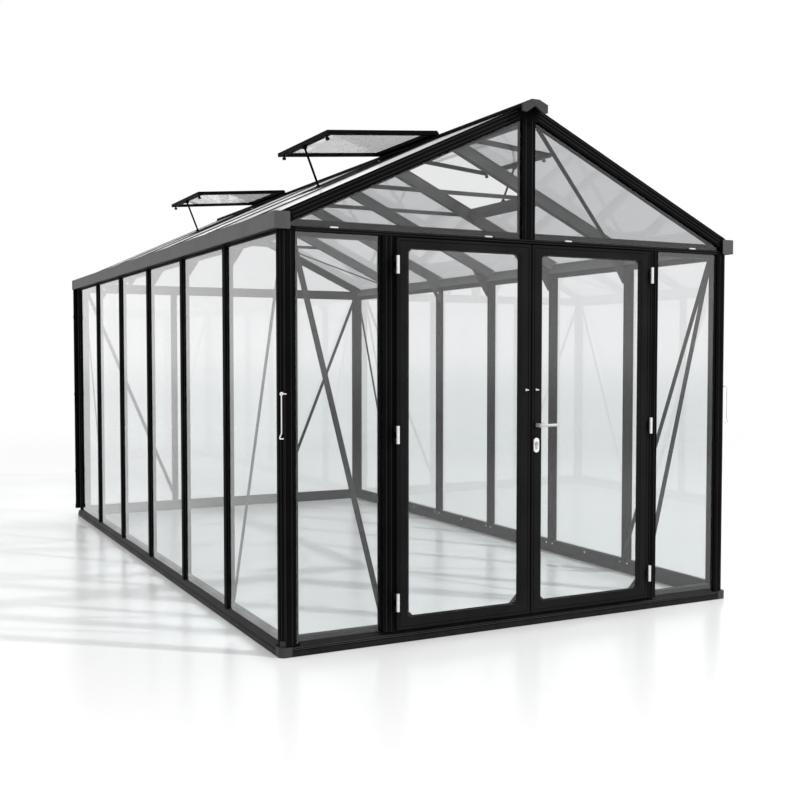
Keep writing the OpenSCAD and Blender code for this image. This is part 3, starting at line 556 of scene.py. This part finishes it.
# rubber seals between the caps and the glass
seals = dict(width=0.005, height=0.003, foot=0.058, sideHead=1.762, endHead=1.757,
             bar=0.0225, postSide=0.0385, postEnd=0.0575, doorPost=0.0025)
sealOutline, sealParts = halfRound(seals["width"], seals["height"], 5), []
for side in sides:
    besideBars = [y + off for y in barLines for off in (-seals["bar"], seals["bar"])]
    for y in besideBars + [end * (gy - seals["postSide"]) for end in sides]:
        sealParts.append(upright(sealOutline, side * gx, y, seals["foot"], seals["sideHead"],
                                 yAxis, side * xAxis))
    postX, doorX = gx - seals["postEnd"], house["postOutX"] + seals["doorPost"]
    for x, end in ((postX, -1.0), (postX, 1.0), (doorX, -1.0)):
        sealParts.append(upright(sealOutline, side * x, end * gy, seals["foot"], seals["endHead"],
                                 xAxis, end * yAxis))
makePiece("glazing_seals", sealParts, "building", "seal", 60)

# door leaves: sloping beads round the panes, a rib round the face, corner plates on the inner face
bead = dict(width=0.013, flatShare=0.25, sunk=0.003, glass=0.0022)
faceRib = dict(inset=0.012, width=0.003, height=0.0012)
plate = dict(lap=0.006, lowLeg=0.046, highLeg=0.032, thick=0.003)
meetSeal = dict(x=-0.001, back=0.0035, low=0.066, high=1.746, width=0.016, thick=0.003)


# eight-cornered loop of the leaf's opening, moved in by inset
def leafLoop(side, inset, y):
    flat, c = inset * bead["flatShare"], leaf["corner"]
    x0, x1 = leaf["x0"] + leaf["rail"] + inset, leaf["x1"] - leaf["rail"] - inset
    z0, z1 = leaf["z0"] + leaf["rail"] + flat, leaf["z1"] - leaf["topRail"] - flat
    x = np.array([x0 + c, x1 - c, x1, x1, x1 - c, x0 + c, x0, x0])
    z = np.array([z0, z0, z0 + c, z1 - c, z1, z1, z1 - c, z0 + c])
    return np.stack([side * x, np.full_like(x, y), z], 1)


# bead: three loops (outer at the face, inner at the glass, outer at the glass) closed as a ring
def leafBead(side, faceY, glassY):
    steps = ((0.0, faceY), (bead["width"], glassY), (0.0, glassY))
    return np.concatenate([leafLoop(side, *step) for step in steps]), ringFaces(3, 8, closed=True)


# corner plate: a triangle with two legs along the rails, from a corner of the opening
def cornerPlate(side, x, dx, z, dz, leg):
    lapX, lapZ = x - plate["lap"] * dx, z - plate["lap"] * dz
    outline = [[side * lapX, lapZ], [side * (x + leg * dx), lapZ], [side * lapX, z + leg * dz]]
    run = [vec(0, leafRear, 0), vec(0, leafRear + plate["thick"], 0)]
    return sweepSolid(outline, run, xAxis, zAxis)


leafMid = (leafFace + leafRear) / 2
faceRibOutline = halfRound(faceRib["width"], faceRib["height"])
for side, word in words.items():
    body = word + "_door"
    beads = [leafBead(side, leafFace + bead["sunk"], leafMid - bead["glass"]),
             leafBead(side, leafRear - bead["sunk"], leafMid + bead["glass"])]
    makePiece(body + "_beads", beads, body, "rib")
    x0, x1 = side * (leaf["x0"] + faceRib["inset"]), side * (leaf["x1"] - faceRib["inset"])
    z0, z1 = leaf["z0"] + faceRib["inset"], leaf["z1"] - faceRib["inset"]
    lines = [upright(faceRibOutline, x, leafFace, z0, z1, xAxis, -yAxis) for x in (x0, x1)]
    lines += [sweepSolid(faceRibOutline, [vec(x0, leafFace, z), vec(x1, leafFace, z)], zAxis, -yAxis)
              for z in (z0, z1)]
    makePiece(body + "_ribs", lines, body, "black", sharpEdge)
    plates = [cornerPlate(side, x, dx, z, dz, leg)
              for x, dx in ((leaf["x0"] + leaf["rail"], 1), (leaf["x1"] - leaf["rail"], -1))
              for z, dz, leg in ((leaf["z0"] + leaf["rail"], 1, plate["lowLeg"]),
                                 (leaf["z1"] - leaf["topRail"], -1, plate["highLeg"]))]
    makePiece(body + "_corner_plates", plates, body, "black")
meetStrip = upright(boxOutline(meetSeal["width"], meetSeal["thick"]), meetSeal["x"],
                    -(gy + meetSeal["back"]), meetSeal["low"], meetSeal["high"], xAxis, yAxis)
makePiece("meeting_seal", [meetStrip], "left_door", "seal")
print("stage: leaves done")

# lever: a neck that bends into a flat rounded grip, inside and outside
lever = dict(x=0.026, z=0.929, rose=0.0055, reach=0.036, bend=0.010, grip=0.100,
             neckTall=0.0088, neckThick=0.0056, tall=0.0064, thick=0.0052,
             slimFrom=0.045, slimOver=0.012, tip=0.010, tipLeast=0.0004,
             neckSteps=6, bendSteps=9, gripSteps=25, around=24, square=0.55)


# path: straight neck, quarter bend, straight grip
# section: a squared ellipse, slimmer in the grip and closed at the tip
def leverSurface(faceY, out):
    bend, quarter = lever["bend"], math.pi / 2
    neck = np.linspace(0, lever["reach"] - bend, lever["neckSteps"])
    turn = np.linspace(0, quarter, lever["bendSteps"] + 1)[1:]
    grip = np.linspace(0, lever["grip"] - bend, lever["gripSteps"] + 1)[1:]
    x = np.concatenate([0 * neck, bend * (1 - np.cos(turn)), bend + grip])
    y = np.concatenate([neck, neck[-1] + bend * np.sin(turn), np.full_like(grip, lever["reach"])])
    heading = np.concatenate([0 * neck, turn, np.full_like(grip, quarter)])
    along = np.concatenate([neck, neck[-1] + bend * turn, neck[-1] + bend * quarter + grip])
    slim = np.clip((along - lever["slimFrom"]) / lever["slimOver"], 0, 1)
    slim = slim * slim * (3 - 2 * slim)
    tip = np.clip((along - along[-1] + lever["tip"]) / lever["tip"], 0, 1)
    close = np.sqrt(np.maximum(1 - tip ** 2, lever["tipLeast"]))
    tall = (lever["neckTall"] + (lever["tall"] - lever["neckTall"]) * slim) * close
    thick = (lever["neckThick"] + (lever["thick"] - lever["neckThick"]) * slim) * close
    v = np.arange(lever["around"]) * 2 * math.pi / lever["around"]
    flatCos, flatSin = (np.sign(f) * np.abs(f) ** lever["square"] for f in (np.cos(v), np.sin(v)))
    normal = np.stack([-np.cos(heading), np.sin(heading) * out, 0 * heading], 1)
    centre = np.stack([lever["x"] + x, faceY + out * y, np.full_like(x, lever["z"])], 1)
    points = (centre[:, None] + (thick[:, None] * flatCos)[..., None] * normal[:, None]
              + (tall[:, None] * flatSin)[..., None] * zAxis)
    return points.reshape(-1, 3), ringFaces(len(x), lever["around"])


grips = [leverSurface(leafFace - lever["rose"], -1.0), leverSurface(leafRear + lever["rose"], 1.0)]
leverPiece = makePiece("lever_grips", grips, "lever", "grip", 50)
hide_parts("lever_handle")

# lock: a dark gap, the cylinder standing out of it and its key slot
lock = dict(z=0.843, plate=0.007, r=0.0080, foot=0.0045, drop=0.019, sunk=0.0005,
            gap=0.0016, gapOut=0.0004, barrelOut=0.0026, slotOut=0.0030, slot=(0.0024, 0.0100))


# outline of a profile cylinder: a round head over a narrower foot with a half-round end
def lockOutline(grow):
    head, foot = lock["r"] + grow, lock["foot"] + grow
    gapAngle = math.asin(foot / head)
    arc = np.linspace(gapAngle - math.pi / 2, 1.5 * math.pi - gapAngle, 25)
    end = np.linspace(math.pi, 2 * math.pi, 11)
    return np.concatenate([np.stack([head * np.cos(arc), head * np.sin(arc)], 1),
                           np.stack([foot * np.cos(end), foot * np.sin(end) - lock["drop"]], 1)])


# an outline stood on the lock plate, as far as out
def lockLayer(outline, out):
    y = leafFace - lock["plate"]
    run = [vec(lever["x"], y + lock["sunk"], lock["z"]), vec(lever["x"], y - out, lock["z"])]
    return sweepSolid(outline, run, xAxis, zAxis)


slotOutline = boxOutline(*lock["slot"]) - vec(0, lock["slot"][1] / 2)
makePiece("lock_gap", [lockLayer(lockOutline(lock["gap"]), lock["gapOut"])],
          "right_door", "dark", sharpEdge)
makePiece("lock_barrel", [lockLayer(lockOutline(0.0), lock["barrelOut"])],
          "right_door", "grip", sharpEdge)
makePiece("key_slot", [lockLayer(slotOutline, lock["slotOut"])], "right_door", "dark")


# torus: a circle of the wire's radius carried round a ring
def wireRing(centre, axis, ringR, wireR, turns=28):
    across, height = circle(wireR).T
    return lathe(centre, axis, ringR + across, height, turns, closed=True)


# bent wire in a plane square to y: corners cut three times, then a circle carried along
def bentWire(corners, wireR):
    path = np.asarray(corners, float)
    for _ in range(3):
        cut = np.stack([0.75 * path[:-1] + 0.25 * path[1:], 0.25 * path[:-1] + 0.75 * path[1:]], 1)
        path = np.concatenate([path[:1], cut.reshape(-1, 3), path[-1:]])
    ahead = np.gradient(path, axis=0)
    ahead /= np.linalg.norm(ahead, axis=1)[:, None]
    return sweepSolid(circle(wireR), path, np.cross(ahead, yAxis), yAxis)


# screw eyes on the leaves: a level ring on a small rose
eye = dict(x=0.028, z=1.091, ring=0.0064, wire=0.0023, ringOut=0.0015, sunk=0.0005,
           roseRadii=(0.0052, 0.0052, 0.0036, 0.0020), roseHeights=(0, 0.0012, 0.0019, 0.0021))
# hooks: a loop on the pin and a rod with a kink and a foot; bends are outwards and down from the pin
hook = dict(x=1.2085, y=-2.235, z=1.091, loop=0.0056, wire=0.0025, loopWire=0.0020,
            bends=((0, 0.0056), (0, 0.154), (0, 0.162), (0.0075, 0.176),
                   (0.0085, 0.184), (-0.002, 0.184), (-0.0085, 0.184)))
for side, word in words.items():
    foot = vec(side * eye["x"], leafFace, eye["z"])
    ringMid = foot - (eye["ringOut"] + eye["ring"]) * yAxis
    eyeParts = [wireRing(ringMid, zAxis, eye["ring"], eye["wire"]),
                lathe(foot + eye["sunk"] * yAxis, -yAxis, eye["roseRadii"], eye["roseHeights"], 20)]
    eyePiece = makePiece(word + "_screw_eye", eyeParts, word + "_door", "bright", 50)
    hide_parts(word + "_door_eye")
    pin = vec(side * hook["x"], hook["y"], hook["z"])
    hookParts = [wireRing(pin, yAxis, hook["loop"], hook["loopWire"]),
                 bentWire([pin + vec(side * x, 0, -z) for x, z in hook["bends"]], hook["wire"])]
    hookPiece = makePiece(word + "_hook_wire", hookParts, word + "_hook", "bright", 50)
    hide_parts(word + "_hook")
print("stage: door fittings done")

# bolts on the gussets, rafters and ties, and screws along the inner faces of the side sills
bolt = dict(r=0.006, h=0.0042,
            rings=((1.35, 0.0), (1.35, 0.2), (1.0, 0.25), (0.86, 0.8), (0.35, 1.0)),
            gusset=(1.158, 1.722), rafter=(1.060, 1.858), tie=(0.50, 2.098),
            plateOut=0.0242, tieOut=0.024)
screw = dict(z=0.058, beside=0.032, scale=0.6)


def boltHead(centre, axis, scale=1.0):
    radii, heights = np.array(bolt["rings"]).T * scale
    return lathe(centre, axis, radii * bolt["r"], heights * bolt["h"], 10)


boltParts, darkBolts, sillBolts = [], [], []
besideBars = [barLines - screw["beside"], barLines + screw["beside"]]
screwLines = np.concatenate(besideBars + [(barLines[:-1] + barLines[1:]) / 2])
for side, word in words.items():
    for y in barLines:
        facing = -1.0 if y > 0.001 else 1.0  # the gussets stand on the side towards the middle
        plateY = y + facing * bolt["plateOut"]
        for target, (x, z) in ((boltParts, bolt["gusset"]), (darkBolts, bolt["rafter"])):
            target.append(boltHead(vec(side * x, plateY, z), facing * yAxis))
        x, z = bolt["tie"]
        boltParts.append(boltHead(vec(side * x, y + bolt["tieOut"], z), yAxis))
    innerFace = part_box(word + "_sill")[0 if side > 0 else 1][0]
    sillBolts += [boltHead(vec(innerFace, y, screw["z"]), -side * xAxis, screw["scale"])
                  for y in screwLines]
makePiece("sill_screws", sillBolts, "building", "bright", sharpEdge)
makePiece("frame_bolts", boltParts, "building", "bright", sharpEdge)
# the rafter bolts share the inner finish's painted reflection
makePiece("rafter_bolts", darkBolts, "building", "inner", sharpEdge)

# setting blocks on the transom under the gable panes
block = dict(places=(-0.966, -0.212, 0.225, 0.980), width=0.036, height=0.006,
             front=0.010, back=0.001)
blockOutline, blockParts = boxOutline(block["width"], block["height"]), []
for x in block["places"]:
    run = [vec(x, -(gy + block[k]), house["transomTop"]) for k in ("front", "back")]
    blockParts.append(sweepSolid(blockOutline, run, xAxis, zAxis))
makePiece("setting_blocks", blockParts, "building", "block", bevel=0.0008)

# small tabs of the sill caps on the front posts' cut corners
tab = dict(width=0.028, thick=0.003, low=0.0402, high=0.064)
tabOutline, tabParts = boxOutline(tab["width"], tab["thick"]), []
for side in sides:
    (x, y, _), along, out = cutFace(side, -1.0)
    tabParts.append(upright(tabOutline, x, y, tab["low"], tab["high"], along, out))
makePiece("cap_tabs", tabParts, "building", "ridge", bevel=0.0008)

# downpipe clips: a band round the pipe and a flat arm to the back post's cut corner
clip = dict(x=1.2146, y=2.2593, inner=0.0177, outer=0.0198, tall=0.020, arm=0.006, short=0.0005,
            heights=(0.35, 0.95, 1.55))
bandRadii = [clip[k] for k in ("inner", "outer", "outer", "inner")]
armOutline, clipParts = boxOutline(clip["arm"], clip["tall"]), []
for side in sides:
    pipe, post = vec(side * clip["x"], clip["y"], 0), cutFace(side, 1.0)[0]
    reach = unit(post - pipe)
    for z in clip["heights"]:
        low = (z - clip["tall"] / 2) * zAxis
        clipParts.append(lathe(pipe + low, zAxis, bandRadii, [0, 0, clip["tall"], clip["tall"]],
                               32, closed=True))
        arm = [pipe + low + clip["inner"] * reach, post + low - clip["short"] * reach]
        clipParts.append(sweepSolid(armOutline, arm, vec(-reach[1], reach[0], 0), zAxis))
makePiece("pipe_clips", clipParts, "building", "black", sharpEdge)

# vents: knobs under the free edge and ribs on the sash
vent = dict(hingeX=0.047, hingeZ=house["ridgeZ"] + 0.0008, tiltDeg=5.0,
            places=((-1.0, -1.107), (-1.0, 1.107), (1.0, -1.107)),
            knobAt=0.604, knobSpread=0.30, knobDrop=0.006,
            knobRadii=(0.005, 0.005, 0.010, 0.011, 0.008, 0.001),
            knobHeights=(0.0, 0.008, 0.011, 0.018, 0.023, 0.024),
            top=0.014, rib=(0.004, 0.0015), sideRun=(0.02, 0.612), sideSpread=0.325,
            edgeAt=0.600, edgeSpread=0.33)


# point on a propped sash: s runs from the hinge, h stands square to the sash
def ventPoint(side, s, y, h):
    tilt = math.radians(vent["tiltDeg"])
    return vec(side * (vent["hingeX"] + s * math.cos(tilt) + h * math.sin(tilt)), y,
               vent["hingeZ"] - s * math.sin(tilt) + h * math.cos(tilt))


knobs, sashRibs, sashOutline = [], [], halfRound(*vent["rib"])
for side, y in vent["places"]:
    up, along = (ventPoint(side, s, 0, h) - ventPoint(side, 0, 0, 0) for s, h in ((0, 1), (1, 0)))
    for hand in sides:
        knob = ventPoint(side, vent["knobAt"], y + hand * vent["knobSpread"], -vent["knobDrop"])
        knobs.append(lathe(knob, -up, vent["knobRadii"], vent["knobHeights"], 14))
        run = [ventPoint(side, s, y + hand * vent["sideSpread"], vent["top"]) for s in vent["sideRun"]]
        sashRibs.append(sweepSolid(sashOutline, run, yAxis, up))
    run = [ventPoint(side, vent["edgeAt"], y + hand * vent["edgeSpread"], vent["top"])
           for hand in sides]
    sashRibs.append(sweepSolid(sashOutline, run, along, up))
makePiece("vent_knobs", knobs, "building", "seal", 50)
makePiece("sash_ribs", sashRibs, "building", "rib", sharpEdge)
print("stage: vents done")

# floor: a flat grid that turns into the white backdrop with distance
stage = dict(reach=40.0, cells=4, below=0.0005, floorTone=0.90, floorRough=0.22,
             fadeSpan=(6.5, 13.0), skyLight=0.93)
line = np.linspace(-stage["reach"], stage["reach"], stage["cells"] + 1)
gridX, gridY = np.meshgrid(line, line, indexing="ij")
floorPoints = np.stack([gridX, gridY, np.full_like(gridX, -stage["below"])], -1).reshape(-1, 3)
cell = np.arange(gridX.size).reshape(gridX.shape)
floorFaces = np.stack([cell[:-1, :-1], cell[1:, :-1], cell[1:, 1:], cell[:-1, 1:]], -1).reshape(-1, 4)
floorMesh = bpy.data.meshes.new("studio_floor")
floorMesh.from_pydata(floorPoints.tolist(), [], floorFaces.tolist())
floor = bpy.data.objects.new("studio_floor", floorMesh)
scene.collection.objects.link(floor)
floorMaterial, tree, floorShader = newMaterial("paleFloor")
setSockets(floorShader, {"Base Color": (stage["floorTone"],) * 3 + (1,),
                         "Roughness": stage["floorRough"]})
glow = addNode(tree, "Emission", Color=(1, 1, 1, 1))
coord, length = addNode(tree, "TexCoord"), addNode(tree, "VectorMath")
length.operation = "LENGTH"
tree.links.new(coord.outputs["Object"], length.inputs[0])
fade = mapRange(tree, length.outputs["Value"], stage["fadeSpan"], smooth=True)
floorMix = addNode(tree, "MixShader")
tree.links.new(fade.outputs["Result"], floorMix.inputs["Fac"])
tree.links.new(floorShader.outputs["BSDF"], floorMix.inputs[1])
tree.links.new(glow.outputs["Emission"], floorMix.inputs[2])
tree.links.new(floorMix.outputs["Shader"], tree.nodes["Material Output"].inputs["Surface"])
floorMesh.materials.append(floorMaterial)

# sky: white to the eye, in mirrors and through glass; a plain level for what it lights
world = bpy.data.worlds.new("studioSky")
scene.world = world
world.use_nodes = True
tree = world.node_tree
rays, back = addNode(tree, "LightPath").outputs, tree.nodes["Background"]
back.inputs["Color"].default_value = (1, 1, 1, 1)
seen = mathNode(tree, "MAXIMUM", rays["Is Camera Ray"], rays["Is Glossy Ray"])
seen = mathNode(tree, "MAXIMUM", seen, rays["Is Transmission Ray"])
level = mapRange(tree, seen, toSpan=(stage["skyLight"], 1.0))
tree.links.new(level.outputs["Result"], back.inputs["Strength"])


def softLamp(name, place, aim, size, power):
    lamp = bpy.data.lights.new(name, "AREA")
    lamp.shape, lamp.size, lamp.energy = "DISK", size, power
    holder = bpy.data.objects.new(name, lamp)
    scene.collection.objects.link(holder)
    dx, dy, dz = np.subtract(aim, place)
    holder.location = place
    holder.rotation_euler = (math.atan2(math.hypot(dx, dy), -dz), 0, math.atan2(-dx, dy))


softLamp("keyLamp", (6.5, -8.5, 9.0), (0, 0, 0.8), 0.3, 860)
softLamp("fillLamp", (-1.0, -9.0, 6.0), (0, -2.0, 0.5), 4.0, 60)

view = dict(lens=48.0, sensor=36.0, far=200, place=(-2.752, -6.3266, 1.2438),
            pitch=90 - 2.3376, turn=-27.0185)
camera = bpy.data.cameras.new("photoView")
camera.lens, camera.sensor_width, camera.clip_end = view["lens"], view["sensor"], view["far"]
holder = bpy.data.objects.new("photoView", camera)
holder.location = view["place"]
holder.rotation_euler = (math.radians(view["pitch"]), 0, math.radians(view["turn"]))
scene.collection.objects.link(holder)
scene.camera = holder
print("stage: studio done")
